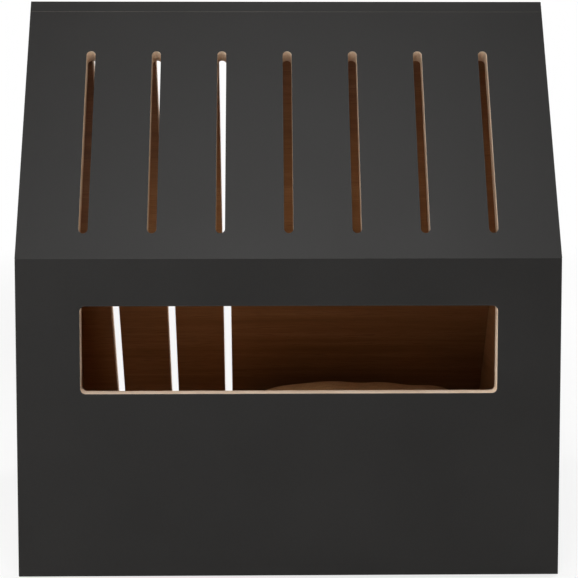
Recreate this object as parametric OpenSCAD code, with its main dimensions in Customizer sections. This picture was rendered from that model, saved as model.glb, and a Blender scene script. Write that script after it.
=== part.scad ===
// Cat house of painted boards: an upright front with a window, a slotted roof that leans back
// from the eave, a back board that leans from the ridge to the ground, two gable sides with a
// doorway in the left one, a floor, and a loose cushion.
// X runs across the front, Y runs from the front to the back, Z is up.
// The origin is on the ground, under the middle of the house. All sizes are in millimetres.

/* [House] */
// Overall width across the front board
house_w = 500; // [460:5:640]
// Overall depth on the ground, from the front face to the foot of the back board
house_d = 530; // [500:5:640]
// Height of the front board, from its lower edge to the eave
front_h = 295; // [270:5:310]
// Height of the ridge above the boards' lower edges
ridge_h = 535; // [515:5:580]
// Slope of the roof board, in degrees from level
roof_pitch = 60; // [56:1:63]
// Width of the flat planed along the ridge
ridge_flat = 9; // [5:0.5:12]
// Thickness of every board
board_t = 18; // [16:0.5:20]

/* [Window] */
// Width of the window
window_w = 383; // [200:1:400]
// Height of the window
window_h = 81; // [50:1:110]
// Distance from the eave down to the window's upper edge
window_drop = 43.5; // [30:0.5:70]
// Radius of the window's corners
window_r = 5; // [2:0.5:20]

/* [Slots] */
// Number of slots in the roof board
slot_count = 7; // [3:1:7]
// Number of those slot lines, from the left, that the back board repeats
back_slot_count = 3; // [1:1:3]
// Width of every slot
slot_w = 8.5; // [6:0.5:14]
// Distance between the middles of two neighbouring slots
slot_pitch = 63; // [40:0.5:65]
// Distance from the eave up to the lower end of the roof's slots
roof_slot_low = 26; // [20:1:60]
// Distance from the ridge joint down to the upper end of the roof's slots
roof_slot_high = 45; // [30:1:70]
// Distance from the foot of the back board up to the lower end of its slots
back_slot_low = 60; // [45:1:120]
// Distance from the ridge's rear arris down to the upper end of the back board's slots
back_slot_high = 55; // [45:1:120]

/* [Doorway] */
// Width of the doorway
door_w = 200; // [150:1:220]
// Height of the doorway, from its sill to the top of its arch
door_h = 235; // [180:1:250]
// Height of the doorway's sill above the floor board
door_sill = 35; // [15:1:60]
// Distance from the front board's inner face to the doorway's near edge
door_setback = 57; // [50:1:80]
// Radius of the doorway's lower corners
door_r = 5; // [2:0.5:20]

/* [Cushion] */
// Width of the cushion across its corners
cushion_w = 306; // [240:1:360]
// Depth of the cushion across its corners
cushion_d = 300; // [240:1:340]
// Height of the cushion's crown above the floor board
cushion_h = 107; // [60:1:120]
// Height of the cushion's side seam above the floor board
cushion_seam = 44; // [25:1:55]
// How far the sides are drawn in between the corners
cushion_draw = 14; // [4:1:30]
// Depth of the crease that crosses the crown
crease_depth = 5; // [1:0.5:10]
// Half width of the crease
crease_w = 22; // [10:1:40]

/* [Dowels] */
// Diameter of every dowel
dowel_d = 8; // [6:0.5:9]
// Length of every dowel
dowel_len = 30; // [25:1:36]
// Length of each dowel that sits in the face of the outer board
dowel_face = 10; // [7:0.5:11]
// Distance along a joint from a cam bolt to the dowel beside it
dowel_step = 32; // [25:1:40]
// Width of the chamfer on a dowel's ends
dowel_chamfer = 1; // [0.5:0.1:1.5]

/* [Cam locks] */
// Distance from each end of a joint to its nearest cam bolt
fix_inset = 60; // [50:1:70]
// Number of cam locks along the back board's joint with each side board
back_fixings = 3; // [2:1:4]
// Number of cam locks along each of a side board's other joints
short_fixings = 2; // [2:1:3]
// Diameter of a cam
cam_d = 15; // [13:0.5:18]
// Distance from a board's edge to the middle of its cams
cam_setback = 24; // [22:0.5:30]
// Height of a cam beyond its bolt's axis
cam_below = 4; // [3.8:0.1:4.5]
// How far a cam's face lies under the board's face
cam_sink = 0.4; // [0.2:0.1:1]
// Diameter of the round recess in a cam's face
cam_recess_d = 6; // [5:0.5:8]
// Depth of the round recess in a cam's face
cam_recess_h = 3; // [2:0.5:3.5]
// Width of the driver's cross slots in a cam's face
cam_cross_w = 1.6; // [1:0.1:2]
// Length of the driver's cross slots in a cam's face
cam_cross_len = 10; // [9:0.5:12]
// Diameter of a bolt's thread
bolt_thread_d = 6; // [5:0.5:6.5]
// Length of a bolt's thread
bolt_thread_len = 11; // [8:0.5:12]
// Diameter of a bolt's shank
bolt_shank_d = 7; // [6.5:0.5:7.5]
// Diameter of a bolt's neck
bolt_neck_d = 4; // [3:0.5:5]
// Diameter of a bolt's head
bolt_head_d = 6.6; // [6:0.1:7]
// Length of a bolt's head
bolt_head_len = 5; // [3:0.5:6]
// Diameter of a cover cap
cap_d = 18; // [18:0.5:22]
// Thickness of a cover cap
cap_t = 1.5; // [1:0.1:2]
// Width of the chamfer round a cover cap's face
cap_chamfer = 0.5; // [0.3:0.1:0.9]
// Length of the stud that holds a cover cap in its cam
cap_stud = 2.2; // [1:0.1:2.6]

/* [Tongues] */
// Thickness of the loose tongues in the eave and ridge joints
tongue_t = 4; // [3:0.5:5]
// Width of the loose tongues, half of it in each board
tongue_w = 14; // [10:1:16]
// Distance from the ends of the joint to the ends of its tongue
tongue_stop = 30; // [22:1:60]

/* [Feet] */
// Diameter of the felt pads
pad_d = 28; // [20:1:40]
// Thickness of the felt pads
pad_t = 3; // [2:0.5:5]
// Distance from the floor board's edges to the middle of the nearest pads
pad_inset = 70; // [55:1:90]

/* [Clearances] */
// Gap all round a dowel, a thread, a cam or a tongue in its hole
fit_gap = 0.1; // [0.05:0.05:0.2]
// Gap at the blind end of a hole
end_gap = 0.8; // [0.5:0.1:1]
// Gap all round a bolt's shank in its hole
shank_gap = 0.5; // [0.2:0.1:0.6]
// Gap between the cushion and the boards beside it
wall_gap = 3; // [2.5:0.5:6]
// Gap between the cushion and the floor board
rest_gap = 0.3; // [0.2:0.1:0.5]

/* [Hidden] */

$fn = 64;

// Overshoot of a cutting shape past the face that it opens
cut = 1;

paint = "#2f2e2f";
veneer = "#a8703c";
beech = "#d9b98c";
plywood = "#cdb08a";
steel = "#b4b6b8";
zinc = "#9c9fa1";
cap_brown = "#7a5230";
felt = "#6d675f";
tan_cloth = "#b99a78";

// Lines of the gable profile. A point is [y, z].
front_y = -house_d / 2;
back_y = house_d / 2;
low_z = pad_t;
floor_z = low_z + board_t;
roof_run = (ridge_h - front_h) / tan(roof_pitch);
back_pitch = atan(ridge_h / (house_d - roof_run - ridge_flat));
back_line = 180 - back_pitch;
mitre_line = (roof_pitch - 90) / 2;

function along_line(angle) = [cos(angle), sin(angle)];

// Where the line from p at angle a crosses the line from q at angle b
function meet(p, a, q, b) =
    p + along_line(a) * cross(q - p, along_line(b)) / cross(along_line(a), along_line(b));

// Outer corners, from the front's lower edge round to the foot of the back board
toe = [front_y, low_z];
eave = [front_y, low_z + front_h];
ridge_front = [front_y + roof_run, low_z + ridge_h];
ridge_rear = ridge_front + [ridge_flat, 0];
foot = [back_y, low_z];

// Inner corners, one board's thickness inside
toe_in = toe + [board_t, 0];
eave_in = eave + [board_t, board_t * tan(mitre_line)];
foot_in = foot - [board_t / sin(back_pitch), 0];
throat = meet(eave_in, roof_pitch, foot_in, back_line);
ridge_seam = meet(eave, roof_pitch, foot_in, back_line);
floor_back = meet([0, floor_z], 0, foot_in, back_line);

// Lengths of a side board's joints
front_joint_len = eave_in[1] - low_z;
roof_joint_len = norm(throat - eave_in);
back_joint_len = norm(throat - foot_in);
floor_joint_len = floor_back[0] - toe_in[0];

side_x = house_w / 2 - board_t / 2;
inner_w = house_w - 2 * board_t;

// Places along a joint for n cam bolts, and for the dowels beside the end bolts
function bolt_places(length, n) =
    [for (i = [0 : n - 1]) fix_inset + i * (length - 2 * fix_inset) / (n - 1)];
function dowel_places(length) = [fix_inset + dowel_step, length - fix_inset - dowel_step];

front_bolts = bolt_places(front_joint_len, short_fixings);
front_pegs = dowel_places(front_joint_len);
roof_bolts = bolt_places(roof_joint_len, short_fixings);
roof_pegs = dowel_places(roof_joint_len);
back_bolts = bolt_places(back_joint_len, back_fixings);
back_pegs = dowel_places(back_joint_len);
floor_bolts = bolt_places(floor_joint_len, short_fixings);
floor_pegs = dowel_places(floor_joint_len);

slot_lines = [for (i = [0 : slot_count - 1]) (i - (slot_count - 1) / 2) * slot_pitch];
back_slot_lines = [for (i = [0 : back_slot_count - 1]) slot_lines[i]];

cam_h = board_t / 2 + cam_below;
shank_len = cam_setback - cam_d / 2 - end_gap;
head_from = cam_setback - bolt_head_len / 2;

// The cushion lies in the rear right corner, a wall gap from the right side board and the back board
cushion_base = floor_z + rest_gap;
cushion_x = inner_w / 2 - wall_gap - cushion_w / 2;
cushion_seam_back = meet([0, cushion_base + cushion_seam], 0, foot_in, back_line);
cushion_y = cushion_seam_back[0] - wall_gap / sin(back_pitch) - cushion_d / 2;

// Cells along each side of the cushion's surface, the powers that round its outline and its crown,
// and how soon its underside reaches the floor
cushion_steps = 24;
cushion_outline_power = 3;
cushion_crown_power = 0.6;
cushion_rest_rate = 2.5;

// Frames for the boards' faces and joints

// Face of the front board: x across, y up from its lower edge, z out of the face
module on_front() translate([0, toe[0], toe[1]]) rotate([90, 0, 0]) children();

// Face of the roof board: x across, y up the slope from the eave, z out of the face
module on_roof() translate([0, eave[0], eave[1]]) rotate([roof_pitch, 0, 0]) children();

// Outer face of the back board: x across, y up the slope from the foot, z into the house
module on_back() translate([0, foot[0], foot[1]]) rotate([back_line, 0, 0]) children();

// Joints of the right side. In each, y runs along the joint and z runs from the board that is bored
// in its face into the board that is bored in its edge, whose cams open towards -x.
module front_joint() translate([side_x, eave_in[0], eave_in[1]]) rotate([-90, 0, 0]) children();
module roof_joint() translate([side_x, throat[0], throat[1]]) rotate([180 + roof_pitch, 0, 0]) children();
module back_joint() translate([side_x, foot_in[0], foot_in[1]]) rotate([back_line, 0, 0]) children();
module floor_joint()
    translate([inner_w / 2, toe_in[0], low_z + board_t / 2]) rotate([0, -90, 0]) children();

module both_sides() {
    children();
    mirror([1, 0, 0]) children();
}

module at_places(places) for (s = places) translate([0, s, 0]) children();

// Extrudes a profile of [y, z] points across the house, about the middle
module across(width) rotate([90, 0, 90]) linear_extrude(width, center = true) children();

// Outlines of the openings

module round_slot(width, length) {
    translate([-width / 2, width / 2]) square([width, length - width]);
    for (end_y = [width / 2, length - width / 2]) translate([0, end_y]) circle(d = width);
}

module round_corner_box(width, height, r) {
    translate([-width / 2, r]) square([width, height - 2 * r]);
    translate([r - width / 2, 0]) square([width - 2 * r, height]);
    for (x = [r - width / 2, width / 2 - r], y = [r, height - r]) translate([x, y]) circle(r);
}

module doorway_outline() {
    round_corner_box(door_w, door_h - door_w / 2, door_r);
    translate([-door_w / 2, door_r]) square([door_w, door_h - door_w / 2 - door_r]);
    translate([0, door_h - door_w / 2]) circle(d = door_w);
}

// Fasteners, each in the frame of its joint

module dowel() translate([0, 0, -dowel_face]) {
    tip_d = dowel_d - 2 * dowel_chamfer;
    cylinder(d1 = tip_d, d2 = dowel_d, h = dowel_chamfer);
    translate([0, 0, dowel_chamfer]) cylinder(d = dowel_d, h = dowel_len - 2 * dowel_chamfer);
    translate([0, 0, dowel_len - dowel_chamfer]) cylinder(d1 = dowel_d, d2 = tip_d, h = dowel_chamfer);
}

module dowel_bore()
    translate([0, 0, -dowel_face - end_gap])
        cylinder(d = dowel_d + 2 * fit_gap, h = dowel_len + 2 * end_gap);

// A bolt grown by a gap all round, from its thread's tip to its head
module bolt_body(gap) {
    translate([0, 0, -bolt_thread_len]) cylinder(d = bolt_thread_d + 2 * gap, h = bolt_thread_len);
    cylinder(d = bolt_shank_d + 2 * gap, h = shank_len);
    cylinder(d = bolt_neck_d + 2 * gap, h = cam_setback);
    translate([0, 0, head_from - gap]) cylinder(d = bolt_head_d + 2 * gap, h = bolt_head_len + 2 * gap);
}

module cam_bolt() bolt_body(0);

module bolt_bore() {
    translate([0, 0, -bolt_thread_len - end_gap])
        cylinder(d = bolt_thread_d + 2 * fit_gap, h = bolt_thread_len + 2 * end_gap);
    cylinder(d = bolt_shank_d + 2 * shank_gap, h = cam_setback);
}

module at_cam_face() translate([-board_t / 2, 0, cam_setback]) rotate([0, 90, 0]) children();

module cam_bore()
    at_cam_face() translate([0, 0, -cut]) cylinder(d = cam_d + 2 * fit_gap, h = cut + cam_h + end_gap);

module cam_lock() difference() {
    at_cam_face() translate([0, 0, cam_sink]) cylinder(d = cam_d, h = cam_h - cam_sink);
    at_cam_face() translate([0, 0, cam_sink - cut]) {
        cylinder(d = cam_recess_d, h = cut + cam_recess_h);
        for (turn = [0, 90]) rotate(turn)
            translate([-cam_cross_len / 2, -cam_cross_w / 2, 0])
                cube([cam_cross_len, cam_cross_w, cut + cam_recess_h]);
    }
    bolt_body(fit_gap);
}

module cam_cap() at_cam_face() {
    translate([0, 0, -cap_t]) cylinder(d1 = cap_d - 2 * cap_chamfer, d2 = cap_d, h = cap_chamfer);
    translate([0, 0, cap_chamfer - cap_t]) cylinder(d = cap_d, h = cap_t - cap_chamfer);
    cylinder(d = cam_recess_d - 2 * fit_gap, h = cam_sink + cap_stud);
}

// Every hole that one joint makes, in both of its boards
module joint_bores(bolts, pegs) {
    at_places(bolts) {
        bolt_bore();
        cam_bore();
    }
    at_places(pegs) dowel_bore();
}

module front_bores() front_joint() joint_bores(front_bolts, front_pegs);
module roof_bores() roof_joint() joint_bores(roof_bolts, roof_pegs);
module back_bores() back_joint() joint_bores(back_bolts, back_pegs);
module floor_bores() floor_joint() joint_bores(floor_bolts, floor_pegs);

// Loose tongues, square across the joint between two corners of the profile, grown by gaps
module joint_tongue(from, to, angle, side_gap, tip_gap) {
    middle = (from + to) / 2;
    translate([0, middle[0], middle[1]]) rotate([angle, 0, 0])
        cube([house_w - 2 * tongue_stop + 2 * tip_gap, tongue_t + 2 * side_gap, tongue_w + 2 * tip_gap],
             center = true);
}

module eave_groove() joint_tongue(eave, eave_in, mitre_line, fit_gap, end_gap);
module ridge_groove() joint_tongue(ridge_seam, throat, back_line, fit_gap, end_gap);

// Boards

module front_panel() color(paint) difference() {
    across(house_w) polygon([toe, eave, eave_in, toe_in]);
    on_front() translate([0, front_h - window_drop - window_h, -board_t - cut])
        linear_extrude(board_t + 2 * cut) round_corner_box(window_w, window_h, window_r);
    both_sides() front_bores();
    eave_groove();
}

module roof_panel() color(paint) difference() {
    across(house_w) polygon([eave, ridge_seam, throat, eave_in]);
    slot_len = norm(ridge_seam - eave) - roof_slot_low - roof_slot_high;
    on_roof() for (x = slot_lines) translate([x, roof_slot_low, -board_t - cut])
        linear_extrude(board_t + 2 * cut) round_slot(slot_w, slot_len);
    both_sides() roof_bores();
    eave_groove();
    ridge_groove();
}

module back_panel() color(paint) difference() {
    across(house_w) polygon([ridge_seam, ridge_front, ridge_rear, foot, foot_in]);
    slot_len = norm(ridge_rear - foot) - back_slot_low - back_slot_high;
    on_back() for (x = back_slot_lines) translate([x, back_slot_low, -cut])
        linear_extrude(board_t + 2 * cut) round_slot(slot_w, slot_len);
    both_sides() back_bores();
    ridge_groove();
}

module side_board() difference() {
    translate([side_x, 0, 0]) across(board_t) polygon([toe_in, eave_in, throat, foot_in]);
    front_bores();
    roof_bores();
    back_bores();
    floor_bores();
}

module right_side_panel() color(paint) side_board();

module left_side_panel() color(paint) difference() {
    mirror([1, 0, 0]) side_board();
    translate([-side_x, toe_in[0] + door_setback + door_w / 2, floor_z + door_sill])
        across(board_t + 2 * cut) doorway_outline();
}

module floor_panel() color(veneer) difference() {
    across(inner_w) polygon([toe_in, [toe_in[0], floor_z], floor_back, foot_in]);
    both_sides() floor_bores();
}

// Inner pieces of the joints

module eave_tongue() color(plywood) joint_tongue(eave, eave_in, mitre_line, 0, 0);
module ridge_tongue() color(plywood) joint_tongue(ridge_seam, throat, back_line, 0, 0);

module front_dowels() color(beech) both_sides() front_joint() at_places(front_pegs) dowel();
module roof_dowels() color(beech) both_sides() roof_joint() at_places(roof_pegs) dowel();
module back_dowels() color(beech) both_sides() back_joint() at_places(back_pegs) dowel();
module floor_dowels() color(beech) both_sides() floor_joint() at_places(floor_pegs) dowel();

module front_cam_bolts() color(steel) both_sides() front_joint() at_places(front_bolts) cam_bolt();
module roof_cam_bolts() color(steel) both_sides() roof_joint() at_places(roof_bolts) cam_bolt();
module back_cam_bolts() color(steel) both_sides() back_joint() at_places(back_bolts) cam_bolt();
module floor_cam_bolts() color(steel) both_sides() floor_joint() at_places(floor_bolts) cam_bolt();

module front_cam_locks() color(zinc) both_sides() front_joint() at_places(front_bolts) cam_lock();
module roof_cam_locks() color(zinc) both_sides() roof_joint() at_places(roof_bolts) cam_lock();
module back_cam_locks() color(zinc) both_sides() back_joint() at_places(back_bolts) cam_lock();
module floor_cam_locks() color(zinc) both_sides() floor_joint() at_places(floor_bolts) cam_lock();

module front_cam_caps() color(cap_brown) both_sides() front_joint() at_places(front_bolts) cam_cap();
module roof_cam_caps() color(cap_brown) both_sides() roof_joint() at_places(roof_bolts) cam_cap();
module back_cam_caps() color(cap_brown) both_sides() back_joint() at_places(back_bolts) cam_cap();

module felt_pads() color(felt)
    for (x = [pad_inset - inner_w / 2, inner_w / 2 - pad_inset],
         y = [toe_in[0] + pad_inset, foot_in[0] - pad_inset])
        translate([x, y, 0]) cylinder(d = pad_d, h = pad_t);

// Cushion: two panels sewn together round the edge. u and v run from -1 to 1 across its plan, closer
// together near the seam. The plumpness is 0 at the seam and 1 at the middle.
function cushion_share(i) = sin(90 * (2 * i / cushion_steps - 1));
function bulge(u) = pow(1 - pow(abs(u), cushion_outline_power), cushion_crown_power);
function plumpness(u, v) = bulge(u) * bulge(v);
function cushion_plan(u, v) = [
    u * (cushion_w / 2 - cushion_draw * (1 - v * v)),
    v * (cushion_d / 2 - cushion_draw * (1 - u * u))
];
function crease(x) = crease_depth * exp(-pow(x / crease_w, 2));
function cushion_top(u, v) =
    cushion_seam + plumpness(u, v) * (cushion_h - cushion_seam - crease(cushion_plan(u, v)[0]));
function cushion_under(u, v) = cushion_seam * (1 - min(1, cushion_rest_rate * plumpness(u, v)));

// The two triangles of one cell. Its diagonal points to the cushion's middle, so that a corner cell
// has no triangle with all its points on the seam.
function cell_faces(i, j, n) =
    let (near = i + j * (n + 1), far = near + n + 1)
    (2 * i + 1 - n) * (2 * j + 1 - n) > 0
        ? [[near, far, far + 1], [near, far + 1, near + 1]]
        : [[near, far, near + 1], [near + 1, far, far + 1]];

module cushion() color(tan_cloth) {
    n = cushion_steps;
    shares = [for (i = [0 : n]) cushion_share(i)];
    top = [for (v = shares, u = shares) concat(cushion_plan(u, v), cushion_top(u, v))];
    under = [for (v = shares, u = shares) concat(cushion_plan(u, v), cushion_under(u, v))];
    first_under = len(top);
    top_faces = [for (j = [0 : n - 1], i = [0 : n - 1]) each cell_faces(i, j, n)];
    under_faces = [for (f = top_faces) [f[2], f[1], f[0]] + first_under * [1, 1, 1]];
    translate([cushion_x, cushion_y, cushion_base])
        polyhedron(concat(top, under), concat(top_faces, under_faces));
}

front_panel();
roof_panel();
back_panel();
left_side_panel();
right_side_panel();
floor_panel();
eave_tongue();
ridge_tongue();
felt_pads();
cushion();
front_dowels();
roof_dowels();
back_dowels();
floor_dowels();
front_cam_bolts();
roof_cam_bolts();
back_cam_bolts();
floor_cam_bolts();
front_cam_locks();
roof_cam_locks();
back_cam_locks();
floor_cam_locks();
front_cam_caps();
roof_cam_caps();
back_cam_caps();
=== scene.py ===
# %% [markdown]
# # A painted cat house and its cushion
# The house is a box of painted boards: an upright front with a long window, a slotted roof that
# leans back from the eave, and a back board that leans from the ridge to the ground.
# Its construction comes ready as a fixed frame of CAD pieces, each in its true place, in metres.
# This lesson dresses that frame: it eases the boards' edges, sews and fills the cushion, and gives
# every surface a finish. No CAD piece is moved, so what is made here fits without adjusting.

# %% Load the frame
import math

import bmesh
import bpy
import numpy as np
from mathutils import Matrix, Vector, noise


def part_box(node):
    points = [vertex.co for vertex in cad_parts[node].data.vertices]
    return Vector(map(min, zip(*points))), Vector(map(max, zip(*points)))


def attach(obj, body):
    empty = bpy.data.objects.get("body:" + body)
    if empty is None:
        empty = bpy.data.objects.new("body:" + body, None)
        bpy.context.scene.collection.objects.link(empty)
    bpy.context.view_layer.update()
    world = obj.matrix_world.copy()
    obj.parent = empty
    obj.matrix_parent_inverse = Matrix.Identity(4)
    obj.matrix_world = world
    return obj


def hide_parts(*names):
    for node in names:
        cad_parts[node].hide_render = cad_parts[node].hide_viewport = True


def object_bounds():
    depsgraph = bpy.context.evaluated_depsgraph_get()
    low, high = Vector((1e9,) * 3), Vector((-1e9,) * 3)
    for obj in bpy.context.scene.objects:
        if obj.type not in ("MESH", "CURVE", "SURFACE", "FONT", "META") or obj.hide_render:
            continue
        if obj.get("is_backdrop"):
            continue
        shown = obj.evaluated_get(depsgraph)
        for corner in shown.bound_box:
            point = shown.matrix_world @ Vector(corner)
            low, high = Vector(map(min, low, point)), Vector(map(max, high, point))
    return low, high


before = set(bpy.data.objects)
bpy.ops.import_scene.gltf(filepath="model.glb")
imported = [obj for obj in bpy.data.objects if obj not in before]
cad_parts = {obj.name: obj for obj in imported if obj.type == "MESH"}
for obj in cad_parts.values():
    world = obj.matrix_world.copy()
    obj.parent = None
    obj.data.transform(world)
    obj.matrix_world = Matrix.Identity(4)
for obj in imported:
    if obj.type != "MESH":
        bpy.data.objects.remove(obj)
cad_low, cad_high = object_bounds()
scene = bpy.context.scene
scene.view_settings.view_transform = "Standard"
MM = 0.001
cad_size_mm = [round(side / MM) for side in cad_high - cad_low]
print("frame:", len(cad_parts), "pieces,", cad_size_mm, "mm")

# %% [markdown]
# ## The camera
# The house stands a little below the lens and nearly fills the frame, and its upright edges stay
# nearly parallel, so the lens is long and stands well back.
# A camera can be placed by eye, but here it was worked out from the corners of the house: the lens
# axis dips less than five degrees, and the frame's middle lies below that axis. Blender calls that a
# lens shift. The sizes below are in millimetres and in pixels of the square frame.

# %% Place the camera
FRAME_PX = 578
FOCAL_PX = 1717.2
AXIS_ROW_PX = 240
SENSOR_MM = 36
CAMERA_PLACE_MM = Vector((-28.5, -1824.4, 447.8))
CAMERA_DIP = math.radians(4.861)
CAMERA_TURN = math.radians(-1.043)

lens = bpy.data.cameras.new("long_lens")
lens.sensor_width = SENSOR_MM
lens.lens = SENSOR_MM * FOCAL_PX / FRAME_PX
lens.shift_y = (AXIS_ROW_PX - FRAME_PX / 2) / FRAME_PX
camera = bpy.data.objects.new("camera", lens)
camera.location = CAMERA_PLACE_MM * MM
camera.rotation_euler = (math.pi / 2 - CAMERA_DIP, 0, CAMERA_TURN)
scene.collection.objects.link(camera)
scene.camera = camera
print("camera: lens", round(lens.lens, 1), "mm, shift", round(lens.shift_y, 3))

# %% [markdown]
# ## Tools for making finishes
# A finish in Blender is a small network of nodes. Clicking it together is fine for one material, but
# a script that adds a node in one line is easier to read back and to change.
# Colours are written as sRGB hex values, as a paint chart gives them, and one function turns them
# into the linear values that the sockets take. Pattern sizes are written in millimetres: a texture's
# scale counts features per metre here, so `per_metre` turns one into the other. Where a material has a
# grain, its coordinates are shortened along it, which draws every feature out in that direction.

# %% Define the node and colour helpers
GRAIN_STRETCH = 26   # how much longer than wide a streak of wood grain is


def linear(hex_colour):
    """Linear RGBA of an sRGB hex value."""
    shares = [int(hex_colour[i:i + 2], 16) / 255 for i in (1, 3, 5)]
    return [s / 12.92 if s <= 0.04045 else ((s + 0.055) / 1.055) ** 2.4 for s in shares] + [1.0]


def per_metre(size_mm):
    """Texture scale at which one feature of the pattern is about this wide."""
    return 1 / (size_mm * MM)


def add_node(tree, kind, inputs=None, stops=(), **settings):
    """Adds a shader node. Each input is a value, or another node's output to link from."""
    node = tree.nodes.new("ShaderNode" + kind)
    for name, value in settings.items():
        setattr(node, name, value)
    for socket, value in (inputs or {}).items():
        if isinstance(value, bpy.types.NodeSocket):
            tree.links.new(value, node.inputs[socket])
        else:
            node.inputs[socket].default_value = value
    for index, (place, hex_colour) in enumerate(stops):
        elements = node.color_ramp.elements
        stop = elements[index] if index < 2 else elements.new(place)
        stop.position = place
        stop.color = linear(hex_colour)
    return node


def start_finish(name, grain_axis=None):
    """A new material, its empty node tree, and object coordinates in metres that follow any grain."""
    finish = bpy.data.materials.new(name)
    finish.use_nodes = True
    tree = finish.node_tree
    tree.nodes.clear()
    place = add_node(tree, "TexCoord").outputs["Object"]
    if grain_axis:
        shorten = [1 / GRAIN_STRETCH if axis == grain_axis else 1.0 for axis in "XYZ"]
        place = add_node(tree, "Mapping", {"Vector": place, "Scale": shorten}).outputs["Vector"]
    return finish, tree, place


def end_finish(tree, **sockets):
    """Adds the surface shader and joins it to the material's output."""
    inputs = {name.replace("_", " "): value for name, value in sockets.items()}
    shader = add_node(tree, "BsdfPrincipled", inputs)
    add_node(tree, "OutputMaterial", {"Surface": shader.outputs["BSDF"]})


print("helpers ready: #808080 is", round(linear("#808080")[0], 3), "in linear light")

# %% [markdown]
# ## Charcoal lacquer
# The boards are sprayed with a matt charcoal lacquer. Sprayed film never dries quite flat: it keeps a
# faint ripple, called orange peel, and the film is a little thicker in some places than in others.
# A plain dark colour would look like a hole in the picture. So a slow cloud varies the colour and the
# gloss, a fine speck breaks the colour up, and a small bump gives the ripple.
# Where two faces meet, handling rubs the film thin, so the narrow eased edge is a shade lighter. Along
# the seam under the ridge the eased edges get a still lighter lacquer, a painted highlight for the light
# that the joint catches there.

# %% Make the charcoal lacquer
PEEL_MM = 1.6       # real orange peel is about this wide
SPECK_MM = 0.9      # drawn coarser than the film's own grain, so that it shows
CLOUD_MM = 90       # passes of the spray gun overlap at about this distance
PEEL_HEIGHT = 0.05 * MM
NOISE_LOW, NOISE_HIGH = 0.3, 0.7     # nearly all of a noise texture's values lie between these
MOTTLE_LOW, MOTTLE_HIGH = 0.7, 1.3   # and nearly all sums of two of them between these


def lacquer(name, dark, light, rough_low, rough_high):
    """Sprayed matt lacquer, in a dark and a light shade of one colour."""
    finish, tree, place = start_finish(name)
    cloud = add_node(tree, "TexNoise", {"Vector": place, "Scale": per_metre(CLOUD_MM), "Detail": 3.0})
    speck = add_node(tree, "TexNoise", {"Vector": place, "Scale": per_metre(SPECK_MM), "Detail": 2.0})
    peel = add_node(tree, "TexNoise", {"Vector": place, "Scale": per_metre(PEEL_MM), "Detail": 1.0})
    mottle = add_node(tree, "Math", {0: cloud.outputs["Fac"], 1: speck.outputs["Fac"]}, operation="ADD")
    shade = add_node(tree, "MapRange", {
        "Value": mottle.outputs[0], "From Min": MOTTLE_LOW, "From Max": MOTTLE_HIGH})
    colour = add_node(tree, "ValToRGB", {"Fac": shade.outputs[0]}, stops=[(0, dark), (1, light)])
    gloss = add_node(tree, "MapRange", {
        "Value": cloud.outputs["Fac"], "From Min": NOISE_LOW, "From Max": NOISE_HIGH,
        "To Min": rough_low, "To Max": rough_high})
    ripple = add_node(tree, "Bump", {
        "Height": peel.outputs["Fac"], "Strength": 0.25, "Distance": PEEL_HEIGHT})
    end_finish(tree, Base_Color=colour.outputs["Color"], Roughness=gloss.outputs[0],
               Specular_IOR_Level=0.18, IOR=1.5, Normal=ripple.outputs["Normal"])
    return finish


charcoal = lacquer("charcoal_lacquer", "#1f1e1d", "#252423", rough_low=0.45, rough_high=0.49)
rubbed = lacquer("rubbed_lacquer_arris", "#2c2b2b", "#393836", rough_low=0.39, rough_high=0.43)
# The seam lacquer is lighter than the rubbed arris: a painted highlight along the joint under the ridge.
seam_highlight_lacquer = lacquer("seam_lacquer_painted_highlight", "#47443f", "#5d5a53", rough_low=0.45, rough_high=0.49)
print("made", charcoal.name, rubbed.name, "and", seam_highlight_lacquer.name)

# %% [markdown]
# ## Brown veneer inside
# Inside, the boards keep their wood veneer, a warm brown with its grain lying level. Veneer is a
# thin leaf of real wood, so what the eye sees is long streaks, a few millimetres wide, with short dark
# pores between them.
# Wood is often drawn from rings in a solid block. A leaf that is sliced flat shows streaks instead,
# so noise that is stretched along the grain does it: wide streaks, fine fibres and thin pores.
# The sides carry their grain front to back, and the other boards across the house.

# %% Make the veneer
STREAK_MM = 13       # width of a light or dark streak
FIBRE_MM = 1.4       # drawn at twice its real width, so that it shows
PORE_MM = 0.7
WOOD_RELIEF = 0.1 * MM
FIBRE_SHARE = 0.35                   # weight of the fibres beside the streaks
TONE_LOW, TONE_HIGH = 0.42, 0.92     # tones that become the darkest and the lightest wood
PORE_FROM, PORE_TO = 0.64, 0.72      # noise levels over which a pore opens


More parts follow.
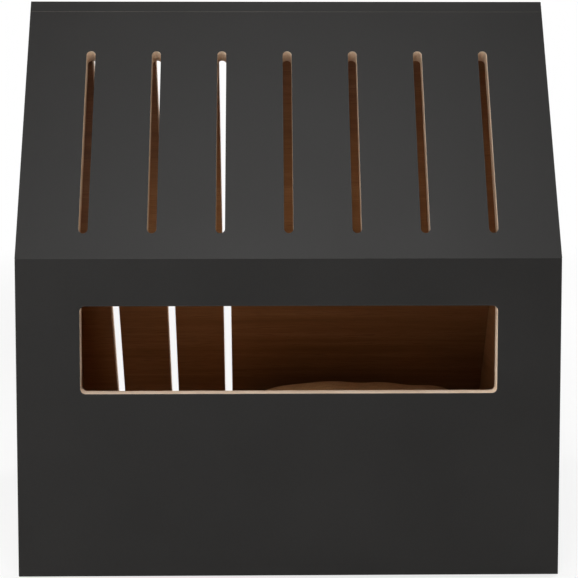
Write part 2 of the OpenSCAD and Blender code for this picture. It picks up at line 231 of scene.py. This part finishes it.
def veneer(name, grain_axis, dark, middle, light):
    """Satin wood veneer, with its grain along one axis of the house."""
    finish, tree, grain = start_finish(name, grain_axis)
    streak = add_node(tree, "TexNoise", {
        "Vector": grain, "Scale": per_metre(STREAK_MM), "Detail": 4.0, "Distortion": 0.4})
    fibre = add_node(tree, "TexNoise", {"Vector": grain, "Scale": per_metre(FIBRE_MM), "Detail": 2.0})
    pore = add_node(tree, "TexNoise", {"Vector": grain, "Scale": per_metre(PORE_MM), "Detail": 0.0})
    tone = add_node(tree, "Math", {0: fibre.outputs["Fac"], 1: FIBRE_SHARE, 2: streak.outputs["Fac"]},
                    operation="MULTIPLY_ADD")
    shade = add_node(tree, "MapRange", {
        "Value": tone.outputs[0], "From Min": TONE_LOW, "From Max": TONE_HIGH})
    wood = add_node(tree, "ValToRGB", {"Fac": shade.outputs[0]},
                    stops=[(0, dark), (1, light), (0.5, middle)])
    opening = add_node(tree, "MapRange", {
        "Value": pore.outputs["Fac"], "From Min": PORE_FROM, "From Max": PORE_TO})
    pored = add_node(tree, "MixRGB", {
        "Fac": opening.outputs[0], "Color1": wood.outputs["Color"], "Color2": linear(dark)})
    relief = add_node(tree, "Math", {0: tone.outputs[0], 1: opening.outputs[0]}, operation="SUBTRACT")
    bump = add_node(tree, "Bump", {"Height": relief.outputs[0], "Strength": 0.3, "Distance": WOOD_RELIEF})
    gloss = add_node(tree, "MapRange", {"Value": tone.outputs[0], "To Min": 0.5, "To Max": 0.38})
    end_finish(tree, Base_Color=pored.outputs["Color"], Roughness=gloss.outputs[0], IOR=1.5,
               Normal=bump.outputs["Normal"])
    return finish


VENEER_TONES = ("#8c5f39", "#a07045", "#b08257")
veneer_across = veneer("alder_veneer_across", "X", *VENEER_TONES)
veneer_deep = veneer("alder_veneer_front_to_back", "Y", *VENEER_TONES)
print("made", veneer_across.name, "and", veneer_deep.name)

# %% [markdown]
# ## Bare cut edges
# The window and the slots were routed after the boards were painted, so their walls show the board's
# bare core: pale fibreboard, sanded smooth. Its fibres are too short to give a grain, so the eye sees
# an even biscuit colour with fine specks. A wood texture would be wrong here, and one flat colour would
# look like card, so two noises are added: one for the specks, and a wide one for faint blotches.

# %% Make the bare fibreboard
FIBRE_SPECK_MM = 1.0   # coarser than the real fibre, so that it shows
BLOTCH_MM = 22
NAP_HEIGHT = 0.1 * MM
BISCUIT_LOW, BISCUIT_HIGH = 0.65, 1.35   # wider than the noises reach, so that the tones stay close


def fibreboard(name, dark, light):
    """Sanded edge of fibreboard, without paint."""
    finish, tree, place = start_finish(name)
    speck = add_node(tree, "TexNoise", {"Vector": place, "Scale": per_metre(FIBRE_SPECK_MM), "Detail": 3.0})
    blotch = add_node(tree, "TexNoise", {"Vector": place, "Scale": per_metre(BLOTCH_MM), "Detail": 2.0})
    tone = add_node(tree, "Math", {0: speck.outputs["Fac"], 1: blotch.outputs["Fac"]}, operation="ADD")
    shade = add_node(tree, "MapRange", {
        "Value": tone.outputs[0], "From Min": BISCUIT_LOW, "From Max": BISCUIT_HIGH})
    colour = add_node(tree, "ValToRGB", {"Fac": shade.outputs[0]}, stops=[(0, dark), (1, light)])
    nap = add_node(tree, "Bump", {"Height": speck.outputs["Fac"], "Strength": 0.3, "Distance": NAP_HEIGHT})
    end_finish(tree, Base_Color=colour.outputs["Color"], Roughness=0.75, IOR=1.45,
               Normal=nap.outputs["Normal"])
    return finish


bare_edge = fibreboard("sanded_fibreboard_edge", "#d6bca2", "#e8d4bf")
print("made", bare_edge.name)

# %% [markdown]
# ## Boards and their kinds of face
# Each board is sawn from a veneered sheet. Lacquer covers its outer face and its rim, the veneer stays
# bare inside, and whatever a tool cut later shows the pale core.
# Faces can be picked by hand, but the choice is lost when the CAD pieces change. So the CAD mesh is
# copied, welded and cleaned of its spare triangles, and each face is sorted by where it lies: on one of
# the two main faces, on the rim with the whole board behind it, or in an opening, a hole or a groove.

# %% Copy a board and sort its faces
WELD = 0.002 * MM
NEAR = 0.05 * MM
FLAT = math.radians(0.5)
PARALLEL = 0.999         # least cosine between two directions that count as one
HOUSE_MIDDLE = Vector((0, 0, (cad_low.z + cad_high.z) / 2))
OUTSIDE, INSIDE, CUT, ARRIS, SEAM = range(5)


def board_copy(node):
    """A clean copy of a CAD board: points welded, and flat faces freed of their triangles."""
    board = bmesh.new()
    board.from_mesh(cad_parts[node].data)
    bmesh.ops.remove_doubles(board, verts=board.verts, dist=WELD)
    bmesh.ops.dissolve_limit(board, angle_limit=FLAT, verts=board.verts, edges=board.edges)
    board.normal_update()
    board.edges.index_update()
    return board


def main_faces(board):
    """The direction that a board faces, and the heights of its outer and inner face along it."""
    widest = max(board.faces, key=lambda face: face.calc_area())
    out = widest.normal.copy()
    if out.dot(widest.calc_center_median() - HOUSE_MIDDLE) < 0:
        out.negate()
    heights = [corner.co.dot(out) for corner in board.verts]
    return out, max(heights), min(heights)


def sort_faces(board, out, on_main_face):
    """Gives each face its kind: outside, inside, or cut by a tool."""
    corners = [corner.co.copy() for corner in board.verts]
    for face in board.faces:
        middle = face.calc_center_median()
        if abs(face.normal.dot(out)) > PARALLEL and all(map(on_main_face, face.verts)):
            face.material_index = OUTSIDE if face.normal.dot(out) > 0 else INSIDE
        elif all(face.normal.dot(corner - middle) < NEAR for corner in corners):
            face.material_index = OUTSIDE
        else:
            face.material_index = CUT
        face.smooth = face.material_index == CUT


print("faces turn out from the middle of the house, at", round(HOUSE_MIDDLE.z / MM), "mm")

# %% [markdown]
# ## Eased edges
# A real board never has a knife edge: a pass with sandpaper takes off most of a millimetre, and that
# thin facet is what catches the light along a slot or a ridge.
# A bevel modifier over the whole board would also round the drilled holes and grooves inside the
# joints, so the edges are chosen. The sharp edges fall into connected loops: the outline and the
# openings are long loops that lie on the board's two main faces, while drilled holes are short and
# grooves lie between the faces.
# The mitred eave stays sharp, because its two boards were glued first and show one crisp line.

# %% Choose and ease the edges of a board
EASE = 0.6 * MM
EASE_STEPS = 2
SHARP = math.radians(25)
SMOOTH = math.radians(35)
SHORTEST_LOOP = 60 * MM
SHARE_ON_FACES = 0.75

front_low, front_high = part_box("front_panel")
EAVE_Y, EAVE_Z = front_low.y, front_high.z
SEAM_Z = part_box("roof_panel")[1].z


def connected(edges):
    """Sorts edges into loops and nets that touch."""
    left = set(edges)
    for first in edges:
        if first not in left:
            continue
        left.remove(first)
        found = [first]
        for edge in found:
            touching = {near for corner in edge.verts for near in corner.link_edges if near in left}
            left -= touching
            found.extend(sorted(touching, key=lambda near: near.index))
        yield found


def on_eave(edge):
    """True for an arris of the mitre that the front and the roof share."""
    return all(abs(v.co.y - EAVE_Y) < NEAR and abs(v.co.z - EAVE_Z) < NEAR for v in edge.verts)


def edges_to_ease(board, on_main_face):
    """The long loops on the main faces: painted ones as arrises, and the others as cut edges."""
    sharp = [e for e in board.edges if len(e.link_faces) == 2 and e.calc_face_angle() > SHARP]
    chosen = {ARRIS: [], CUT: []}
    for loop in connected(sharp):
        length = sum(edge.calc_length() for edge in loop)
        ends = [corner for edge in loop for corner in edge.verts]
        share = sum(map(on_main_face, ends)) / len(ends)
        if length > SHORTEST_LOOP and share > SHARE_ON_FACES:
            beside = {face.material_index for edge in loop for face in edge.link_faces}
            kind = ARRIS if OUTSIDE in beside else CUT
            chosen[kind] += [edge for edge in loop if not on_eave(edge)]
    return chosen


def ease_edges(board, chosen):
    """Bevels the chosen edges, and shades the board smooth except across its sharp edges."""
    for kind, edges in chosen.items():
        made = bmesh.ops.bevel(board, geom=edges, offset=EASE, offset_type="OFFSET", segments=EASE_STEPS,
                               profile=0.5, affect="EDGES", clamp_overlap=True, material=kind)
        for face in made["faces"]:
            face.smooth = True
            # Eased faces along the ridge seam take the lighter seam lacquer, a painted highlight.
            if kind == ARRIS and abs(face.calc_center_median().z - SEAM_Z) < EASE:
                face.material_index = SEAM
    board.normal_update()
    for edge in board.edges:
        edge.smooth = edge.calc_face_angle(math.pi) < SMOOTH


print("eave at", round(EAVE_Z / MM), "mm, seam under the ridge at", round(SEAM_Z / MM), "mm")

# %% [markdown]
# ## The six boards
# The front, the roof, the back and the two sides are lacquered outside. The floor board is veneer on
# both faces. They could be made one by one, but they differ only in their finishes, so one function
# makes each from its CAD piece, in the same place.
# The plane of each board's inner face is kept, because the cushion has to stay clear of it.

# %% Make the six boards
inner_faces = {}


def make_board(node, name, finishes, slot):
    """Makes a board from its CAD piece, with a finish for each kind of face and eased edges."""
    board = board_copy(node)
    out, outer, inner = main_faces(board)
    inner_faces[name] = (out, inner)

    def on_main_face(corner):
        height = corner.co.dot(out)
        return outer - height < NEAR or height - inner < NEAR

    sort_faces(board, out, on_main_face)
    chosen = edges_to_ease(board, on_main_face)
    ease_edges(board, chosen)
    mesh = bpy.data.meshes.new(name)
    board.to_mesh(mesh)
    board.free()
    for finish in finishes:
        mesh.materials.append(finish)
    piece = bpy.data.objects.new(name, mesh)
    scene.collection.objects.link(piece)
    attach(piece, "house")
    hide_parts(node)
    print(name, len(mesh.polygons), "faces,", sum(map(len, chosen.values())), "edges eased")


# One finish for each kind of face: outside, inside, cut, arris and seam
painted_across = (charcoal, veneer_across, bare_edge, rubbed, seam_highlight_lacquer)
painted_deep = (charcoal, veneer_deep, bare_edge, rubbed, seam_highlight_lacquer)
unpainted = (veneer_across, veneer_across, bare_edge, bare_edge, bare_edge)
for node, name, finishes, slot in (
        ("front_panel", "front_board", painted_across, "painted_board"),
        ("roof_panel", "roof_board", painted_across, "painted_board"),
        ("back_panel", "back_board", painted_across, "painted_board"),
        ("left_side_panel", "left_side_board", painted_deep, "painted_board"),
        ("right_side_panel", "right_side_board", painted_deep, "painted_board"),
        ("floor_panel", "floor_board", unpainted, "veneered_floor_board")):
    make_board(node, name, finishes, slot)

# %% [markdown]
# ## Canvas for the cushion
# The cushion's cover is a tan cotton canvas with a brushed face. Up close it is a plain weave of warp
# and weft threads, and from a step away it is soft and slightly uneven in colour.
# A weave can be drawn from an image, but two crossed waves do the same with no file. They follow the
# cover's own flat pattern, its UV map in metres, so the threads bend with the cloth.

# %% Make the canvas
THREAD_MM = 1.8      # real threads are about 0.7 mm apart, and are drawn coarser so that they show
SLUB_MM = 12
THREAD_RELIEF = 0.3 * MM
WEAVE_SHARE = 0.5                  # weight of the weave beside the slubs
CLOTH_LOW, CLOTH_HIGH = 0.35, 1.0  # tones that become the darkest and the lightest cloth
WAVE_PER_FEATURE = math.tau / 20   # Blender's wave texture has 20 radians to one unit of its scale


def canvas(name, dark, light):
    """Brushed plain-weave cotton, whose threads follow the cover's flat pattern."""
    finish, tree, _ = start_finish(name)
    flat = add_node(tree, "UVMap", uv_map="flat_pattern").outputs["UV"]
    threads = [add_node(tree, "TexWave", {
        "Vector": flat, "Scale": per_metre(THREAD_MM) * WAVE_PER_FEATURE, "Distortion": 0.4,
        "Detail": 1.0}, bands_direction=direction).outputs["Fac"] for direction in "XY"]
    weave = add_node(tree, "Math", {0: threads[0], 1: threads[1]}, operation="MULTIPLY")
    slub = add_node(tree, "TexNoise", {"Vector": flat, "Scale": per_metre(SLUB_MM), "Detail": 5.0})
    tone = add_node(tree, "Math", {0: weave.outputs[0], 1: WEAVE_SHARE, 2: slub.outputs["Fac"]},
                    operation="MULTIPLY_ADD")
    shade = add_node(tree, "MapRange", {
        "Value": tone.outputs[0], "From Min": CLOTH_LOW, "From Max": CLOTH_HIGH})
    colour = add_node(tree, "ValToRGB", {"Fac": shade.outputs[0]}, stops=[(0, dark), (1, light)])
    bump = add_node(tree, "Bump", {
        "Height": weave.outputs[0], "Strength": 0.5, "Distance": THREAD_RELIEF})
    end_finish(tree, Base_Color=colour.outputs["Color"], Roughness=0.9, IOR=1.45, Specular_IOR_Level=0.2,
               Sheen_Weight=0.08, Sheen_Roughness=0.5, Sheen_Tint=linear(light),
               Normal=bump.outputs["Normal"])
    return finish


tan_canvas = canvas("brushed_tan_canvas", "#a2784f", "#cc9d6f")
print("made", tan_canvas.name)

# %% [markdown]
# ## The shape of the cushion
# The cushion is two square panels sewn together round the edge and filled. Filling lifts the middle,
# so the sides pull in between the corners, and the underside goes flat on the floor. On the right it
# leans on the side board, which keeps the filling up, so that side is the fuller one.
# It could be sculpted, but a formula keeps to the CAD cushion's box: it gives each point of a panel its
# place. The cover is made a little flatter than the finished cushion, because the filling swells it.

# %% Shape the cover
SIDE_DRAW = 14 * MM        # how far a side pulls in between its corners
SEAM_HEIGHT = 44 * MM      # of the side seam, above the floor board
OUTLINE_POWER = 3          # how late the panels fall away from the crown to a free side
LEANING_POWER = 6          # and to the side that leans on a board
CROWN_POWER = 0.6
REST_RATE = 2.5            # how soon the underside reaches the floor, from the seam inwards
SLACK = 0.83               # share of its height that the cover has before it is filled

bed_low, bed_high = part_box("cushion")
half_w, half_d = (bed_high.x - bed_low.x) / 2, (bed_high.y - bed_low.y) / 2
middle_x, middle_y = (bed_low.x + bed_high.x) / 2, (bed_low.y + bed_high.y) / 2
crown = bed_high.z - bed_low.z


def bulge(share, power):
    """Height of the crown, from 1 in the middle to 0 at a seam, for a share from -1 to 1 across."""
    return max(0.0, 1 - abs(share) ** power) ** CROWN_POWER


def cover_point(u, v, top):
    """A point of the cover, for u and v from -1 to 1 across a panel."""
    x = u * (half_w - SIDE_DRAW * (1 - v * v))
    y = v * (half_d - SIDE_DRAW * (1 - u * u))
    plump = bulge(u, LEANING_POWER if u > 0 else OUTLINE_POWER) * bulge(v, OUTLINE_POWER)
    if top:
        z = SEAM_HEIGHT + SLACK * plump * (crown - SEAM_HEIGHT)
    else:
        z = SEAM_HEIGHT * (1 - min(1.0, REST_RATE * plump))
    return Vector((middle_x + x, middle_y + y, bed_low.z + z))


print("cover:", round(2 * half_w / MM), "by", round(2 * half_d / MM), "mm, crown", round(crown / MM), "mm")

# %% [markdown]
# ## Sewing the cover
# A cover is cut as two flat panels, and one seam joins them. Two loose grids would gape there, so the
# lower panel takes over the upper one's seam points. A UV map keeps the flat pattern, in metres, for the
# canvas's threads. The seam's edges get a crease value, so that the later rounding leaves a sewn line.

# %% Lay out the two panels
CELLS = 64
SEAM_CREASE = 0.8          # 0 would round the seam away, and 1 would leave a knife edge

# The grid is finer near the seam, where the cover turns most
steps = [math.sin(math.pi / 2 * (2 * i / CELLS - 1)) for i in range(CELLS + 1)]
cover = bmesh.new()
flat_pattern = cover.loops.layers.uv.new("flat_pattern")
seam_points = {}
for top in (True, False):
    grid = {}
    for i, u in enumerate(steps):
        for j, v in enumerate(steps):
            at_seam = i in (0, CELLS) or j in (0, CELLS)
            if at_seam and (i, j) in seam_points:
                grid[i, j] = seam_points[i, j]
                continue
            grid[i, j] = cover.verts.new(cover_point(u, v, top))
            if at_seam:
                seam_points[i, j] = grid[i, j]
    for i in range(CELLS):
        for j in range(CELLS):
            places = [(i, j), (i + 1, j), (i + 1, j + 1), (i, j + 1)]
            if not top:
                places.reverse()
            face = cover.faces.new([grid[place] for place in places])
            face.smooth = True
            for corner, (a, b) in zip(face.loops, places):
                corner[flat_pattern].uv = (steps[a] * half_w, steps[b] * half_d)
sewn = set(seam_points.values())
crease = cover.edges.layers.float.new("crease_edge")
for edge in cover.edges:
    if sewn.issuperset(edge.verts):
        edge[crease] = SEAM_CREASE
cover.verts.index_update()
seam_indices = sorted(point.index for point in sewn)
cover_mesh = bpy.data.meshes.new("cushion_cover")
cover.to_mesh(cover_mesh)
cover.free()
cover_mesh.materials.append(tan_canvas)
cushion = bpy.data.objects.new("cushion_cover", cover_mesh)
scene.collection.objects.link(cushion)
print("panels:", len(cover_mesh.polygons), "faces,", len(seam_indices), "points on the seam")

# %% [markdown]
# ## Filling the cushion
# Cloth simulation does the filling: the pressure inside pushes the panels out while the seam stays
# where it is. The cloth is cut slightly too large, so it puckers along the seam as a filled
# cover does. Twenty frames are enough, and gravity is off because the floor is added after.
# The result is read back and no point may move further than a cap, so the cushion keeps its size.

# %% Fill it
FILL_FRAMES = 20
FILL_PRESSURE = 4
EXTRA_CLOTH = 0.03
CLOTH_STEPS = 6        # steps of the solver in each frame
CLOTH_BENDING = 0.3
MOVE_CAP = 9 * MM
STILL = 1e-9           # keeps a point that hasn't moved from dividing by zero

laid_out = np.array([v.co for v in cover_mesh.vertices])
filled = laid_out.copy()
seam_group = cushion.vertex_groups.new(name="seam")
seam_group.add(seam_indices, 1.0, "REPLACE")
cloth = cushion.modifiers.new("filling", "CLOTH")
cloth.settings.quality = CLOTH_STEPS
cloth.settings.use_pressure = True
cloth.settings.uniform_pressure_force = FILL_PRESSURE
cloth.settings.shrink_min = -EXTRA_CLOTH
cloth.settings.bending_stiffness = CLOTH_BENDING
cloth.settings.vertex_group_mass = "seam"
cloth.settings.effector_weights.gravity = 0
cloth.point_cache.frame_end = FILL_FRAMES
for step in range(1, FILL_FRAMES + 1):
    scene.frame_set(step)
swollen = cushion.evaluated_get(bpy.context.evaluated_depsgraph_get())
filled = np.array([v.co for v in swollen.data.vertices])
cushion.modifiers.remove(cloth)
scene.frame_set(1)
moved = filled - laid_out
reach = np.linalg.norm(moved, axis=1, keepdims=True)
filled = laid_out + moved * np.minimum(1, MOVE_CAP / np.maximum(reach, STILL))
print("filling moved the cover by up to", round(float(reach.max()) / MM, 1), "mm")

# %% [markdown]
# ## Settling the cushion
# A cushion that has been slept on keeps soft dents over its crown, and small folds gather along its
# seam, where the thread draws the cloth together. It lies flat on the floor board.
# Each dent is a smooth bell curve, and the folds are a noise that fades away from the seam. The inner
# faces of the boards are limits that no point passes. A subdivision then rounds off the grid's facets.

# %% Settle it on the floor
DENTS_MM = ((-56, 1.5, 24), (12, 2.5, 20), (70, 5.4, 28))   # place from the middle, depth, half width
FOLD_DEPTH = 2.4 * MM
FOLD_PITCH = 15 * MM
FOLD_REACH = 16 * MM       # how far from the seam the folds fade out
CLEAR = 0.5 * MM           # least gap to a board


def seam_folds(spot):
    """Height of the small folds that gather along the seam."""
    x, y = spot.x - middle_x, spot.y - middle_y
    height = 0
    for out, out_half, run, run_half in ((x, half_w, y, half_d), (y, half_d, x, half_w)):
        seam_at = out_half - SIDE_DRAW * (1 - (run / run_half) ** 2)
        wave = noise.noise(Vector((run / FOLD_PITCH, math.copysign(out_half, out) / FOLD_PITCH, 0)))
        height += FOLD_DEPTH * wave * math.exp(-abs(seam_at - abs(out)) / FOLD_REACH)
    return height


limits = [inner_faces[name] for name in ("floor_board", "right_side_board", "back_board")]
for point, place in zip(cover_mesh.vertices, filled):
    spot = Vector(place)
    spot += point.normal * seam_folds(spot)
    above = max(0.0, spot.z - bed_low.z - SEAM_HEIGHT) / (crown - SEAM_HEIGHT)
    from_middle = (spot.x - middle_x) / MM
    for place_mm, depth_mm, half_mm in DENTS_MM:
        spot.z -= depth_mm * MM * above * math.exp(-((from_middle - place_mm) / half_mm) ** 2)
    for outward, height in limits:
        spot -= outward * max(0.0, spot.dot(outward) - height + CLEAR)
    point.co = spot
cushion.modifiers.new("rounding", "SUBSURF").render_levels = 1
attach(cushion, "loose_cushion")
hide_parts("cushion")
top_mm = max(v.co.z for v in cover_mesh.vertices) / MM
print("cushion: top at", round(top_mm, 1), "mm, CAD top at", round(bed_high.z / MM, 1), "mm")

# %% [markdown]
# ## Finishes for the joint hardware
# Dowels, tongues, cams, bolts and caps sit inside the joints, and show only from inside the house or
# when it is taken apart. They are right as CAD pieces, so they only need their finishes: turned beech,
# plywood, zinc-plated steel, die-cast zinc, moulded plastic and pressed felt.

# %% Make the hardware finishes
GRIT_RELIEF = 0.05 * MM


def wood_stick(name, grain_axis, dark, light):
    """Bare wood with its fibres along one axis."""
    finish, tree, grain = start_finish(name, grain_axis)
    fibre = add_node(tree, "TexNoise", {"Vector": grain, "Scale": per_metre(FIBRE_MM), "Detail": 3.0})
    colour = add_node(tree, "ValToRGB", {"Fac": fibre.outputs["Fac"]},
                      stops=[(NOISE_LOW, dark), (NOISE_HIGH, light)])
    bump = add_node(tree, "Bump", {
        "Height": fibre.outputs["Fac"], "Strength": 0.3, "Distance": WOOD_RELIEF})
    end_finish(tree, Base_Color=colour.outputs["Color"], Roughness=0.6, Normal=bump.outputs["Normal"])
    return finish


def metal(name, dark, light, grit_mm, rough_low, rough_high):
    """Plated or cast metal, whose grit varies its colour and its gloss."""
    finish, tree, place = start_finish(name)
    grit = add_node(tree, "TexNoise", {"Vector": place, "Scale": per_metre(grit_mm), "Detail": 3.0})
    colour = add_node(tree, "ValToRGB", {"Fac": grit.outputs["Fac"]},
                      stops=[(NOISE_LOW, dark), (NOISE_HIGH, light)])
    gloss = add_node(tree, "MapRange", {
        "Value": grit.outputs["Fac"], "From Min": NOISE_LOW, "From Max": NOISE_HIGH,
        "To Min": rough_low, "To Max": rough_high})
    bump = add_node(tree, "Bump", {"Height": grit.outputs["Fac"], "Strength": 0.2, "Distance": GRIT_RELIEF})
    end_finish(tree, Base_Color=colour.outputs["Color"], Metallic=1.0, Roughness=gloss.outputs[0],
               Normal=bump.outputs["Normal"])
    return finish


def speckled(name, dark, light, grain_mm, roughness, relief_mm):
    """A finish of fine raised specks, such as textured plastic or felt."""
    finish, tree, place = start_finish(name)
    grain = add_node(tree, "TexNoise", {"Vector": place, "Scale": per_metre(grain_mm), "Detail": 4.0})
    colour = add_node(tree, "ValToRGB", {"Fac": grain.outputs["Fac"]},
                      stops=[(NOISE_LOW, dark), (NOISE_HIGH, light)])
    bump = add_node(tree, "Bump", {
        "Height": grain.outputs["Fac"], "Strength": 0.6, "Distance": relief_mm * MM})
    end_finish(tree, Base_Color=colour.outputs["Color"], Roughness=roughness, Normal=bump.outputs["Normal"])
    return finish


beech = wood_stick("turned_beech", "Z", "#c79a66", "#dfbd8d")
plywood = wood_stick("birch_plywood", "X", "#b9935f", "#d6b585")
steel = metal("zinc_plated_steel", "#a9acb0", "#c3c5c7", grit_mm=1.5, rough_low=0.28, rough_high=0.4)
zinc = metal("die_cast_zinc", "#8d9092", "#a8abad", grit_mm=0.8, rough_low=0.42, rough_high=0.55)
cap_plastic = speckled("moulded_brown_plastic", "#6b4526", "#7d5432",
                       grain_mm=0.6, roughness=0.5, relief_mm=0.05)
felt = speckled("pressed_wool_felt", "#565048", "#7d766b", grain_mm=0.9, roughness=0.95, relief_mm=0.4)
for end, finish in (("dowels", beech), ("tongue", plywood), ("bolts", steel), ("locks", zinc),
                    ("caps", cap_plastic), ("pads", felt)):
    dressed = [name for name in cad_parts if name.endswith(end)]
    for name in dressed:
        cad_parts[name].data.materials.clear()
        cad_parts[name].data.materials.append(finish)
    print(finish.name, "on", ", ".join(sorted(dressed)))

# %% [markdown]
# ## The studio
# The house stands on a plain pale floor, in soft light from the front and from the left, and a white
# sheet hangs well behind it. A photographer lights such a background on its own, until it is white.
# Here it needs no lamp: where the camera or a reflection sees the sheet, it glows white, and so does
# a share of the floor, which grows away from the house until the two meet with no line. The light that
# falls on the house doesn't count that glow, so the house keeps its colours and the floor its shadow.

# %% Set the floor and the backdrop
FLOOR_REACH = 40               # metres, as the next three are
BACKDROP_Y = 3.4
BACKDROP_HALF_WIDTH = 3
BACKDROP_HEIGHT = 3
PAPER_TOOTH_MM = 40            # far coarser than paper's own tooth, so that it shows from a step away
GLOW_FROM, GLOW_TO = 1.2, 3.2  # metres from the house over which the floor turns white
FLOOR_GLOW = 0.8               # share that glows near the house


def studio_paper(name, near_glow):
    """Pale paper, of which a share glows white to the camera and to reflections, and all of it far off."""
    finish, tree, place = start_finish(name)
    tooth = add_node(tree, "TexNoise", {"Vector": place, "Scale": per_metre(PAPER_TOOTH_MM), "Detail": 3.0})
    colour = add_node(tree, "ValToRGB", {"Fac": tooth.outputs["Fac"]},
                      stops=[(NOISE_LOW, "#efeeec"), (NOISE_HIGH, "#f1f0ee")])
    matt = add_node(tree, "BsdfDiffuse", {"Color": colour.outputs["Color"]})
    glow = add_node(tree, "Emission", {"Color": linear("#ffffff"), "Strength": 1.0})
    path = add_node(tree, "LightPath").outputs
    seen = add_node(tree, "Math", {0: path["Is Camera Ray"], 1: path["Is Glossy Ray"]}, operation="MAXIMUM")
    seen = add_node(tree, "Math", {0: seen.outputs[0], 1: path["Is Transmission Ray"]}, operation="MAXIMUM")
    away = add_node(tree, "VectorMath", {0: place}, operation="LENGTH").outputs["Value"]
    white = add_node(tree, "MapRange", {
        "Value": away, "From Min": GLOW_FROM, "From Max": GLOW_TO, "To Min": near_glow, "To Max": 1.0})
    share = add_node(tree, "Math", {0: seen.outputs[0], 1: white.outputs[0]}, operation="MULTIPLY")
    both = add_node(tree, "MixShader", {0: share.outputs[0], 1: matt.outputs[0], 2: glow.outputs[0]})
    add_node(tree, "OutputMaterial", {"Surface": both.outputs[0]})
    return finish


def plain_sheet(name, corners, finish):
    """A flat sheet of the studio, which isn't part of the house."""
    mesh = bpy.data.meshes.new(name)
    mesh.from_pydata(corners, [], [(0, 1, 2, 3)])
    mesh.materials.append(finish)
    sheet = bpy.data.objects.new(name, mesh)
    scene.collection.objects.link(sheet)
    sheet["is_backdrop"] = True


far, wide = FLOOR_REACH, BACKDROP_HALF_WIDTH
plain_sheet("studio_floor", [(-far, -far, 0), (far, -far, 0), (far, far, 0), (-far, far, 0)],
            studio_paper("pale_studio_paper", FLOOR_GLOW))
foot = [(x, BACKDROP_Y, 0) for x in (-wide, wide)]
head = [(x, BACKDROP_Y, BACKDROP_HEIGHT) for x in (wide, -wide)]
plain_sheet("studio_backdrop", foot + head, studio_paper("white_backdrop_paper", 1.0))
print("floor", 2 * far, "m wide, backdrop", 2 * wide, "m wide")

# %% [markdown]
# ## The light
# Three soft boxes light what the picture shows: one over the roof, one in front, and one on the left.
# That one makes the right wall of each opening brighter than the left one, and reaches the cushion
# through the doorway. It is kept out of reflections, as a flag or a filter would do, or it would glare
# along the ridge when the house is seen from the right. A fourth box stands behind on the right, for
# the back and the right side. Two white cards lie low: one in front throws a little light up through
# the window, and one by the doorway sends some up to the right end of the inside. A dim even room
# fills the shadows.
# The lamps are set so that a white sheet at the house would just be white, which keeps every colour
# as written. They are hidden from the camera, so that no view shows one.

# %% Set the lamps
ROOM_LIGHT = 0.03
HOUSE = (0, -0.1, 0.3)           # where most lamps point, in metres
RIGHT_END = (0.2, -0.05, 0.33)   # of the inside, under the roof

world = bpy.data.worlds.new("soft_room")
world.use_nodes = True
world.node_tree.nodes.clear()
sky = add_node(world.node_tree, "Background", {"Color": linear("#ffffff"), "Strength": ROOM_LIGHT})
add_node(world.node_tree, "OutputWorld", {"Surface": sky.outputs[0]})
scene.world = world


def softbox(name, place, aim, size, watts):
    """An even rectangular lamp at a place, pointed at another, with its sizes in metres."""
    lamp = bpy.data.lights.new(name, "AREA")
    lamp.shape = "RECTANGLE"
    lamp.size, lamp.size_y = size
    lamp.energy = watts
    box = bpy.data.objects.new(name, lamp)
    box.location = place
    box.rotation_euler = (Vector(aim) - Vector(place)).to_track_quat("-Z", "Y").to_euler()
    box.visible_camera = False
    scene.collection.objects.link(box)
    return box


softbox("roof_softbox", place=(0.08, -1.84, 2.17), aim=HOUSE, size=(0.9, 1.0), watts=34)
softbox("front_softbox", place=(-0.7, -2.4, 1.7), aim=HOUSE, size=(1.4, 1.0), watts=17.5)
left_box = softbox("left_softbox", place=(-2.2, -0.5, 1.18), aim=HOUSE, size=(1.2, 0.7), watts=34)
left_box.visible_glossy = False
softbox("back_softbox", place=(2.1, 1.6, 1.4), aim=HOUSE, size=(1.8, 1.0), watts=58)
softbox("low_card", place=(-0.5, -1.8, 0.15), aim=HOUSE, size=(0.5, 0.2), watts=1.2)
softbox("door_card", place=(-0.8, -0.1, 0.03), aim=RIGHT_END, size=(0.3, 0.3), watts=2.2)

# %% [markdown]
# ## Finish
# The visual model keeps the CAD model's size. How far its box differs from the CAD box is printed.

# %% Print the difference in size
seen_low, seen_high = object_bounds()
growth = [round(value / MM, 2) for value in (*(seen_low - cad_low), *(seen_high - cad_high))]
print("visual box less CAD box, in mm:", growth)
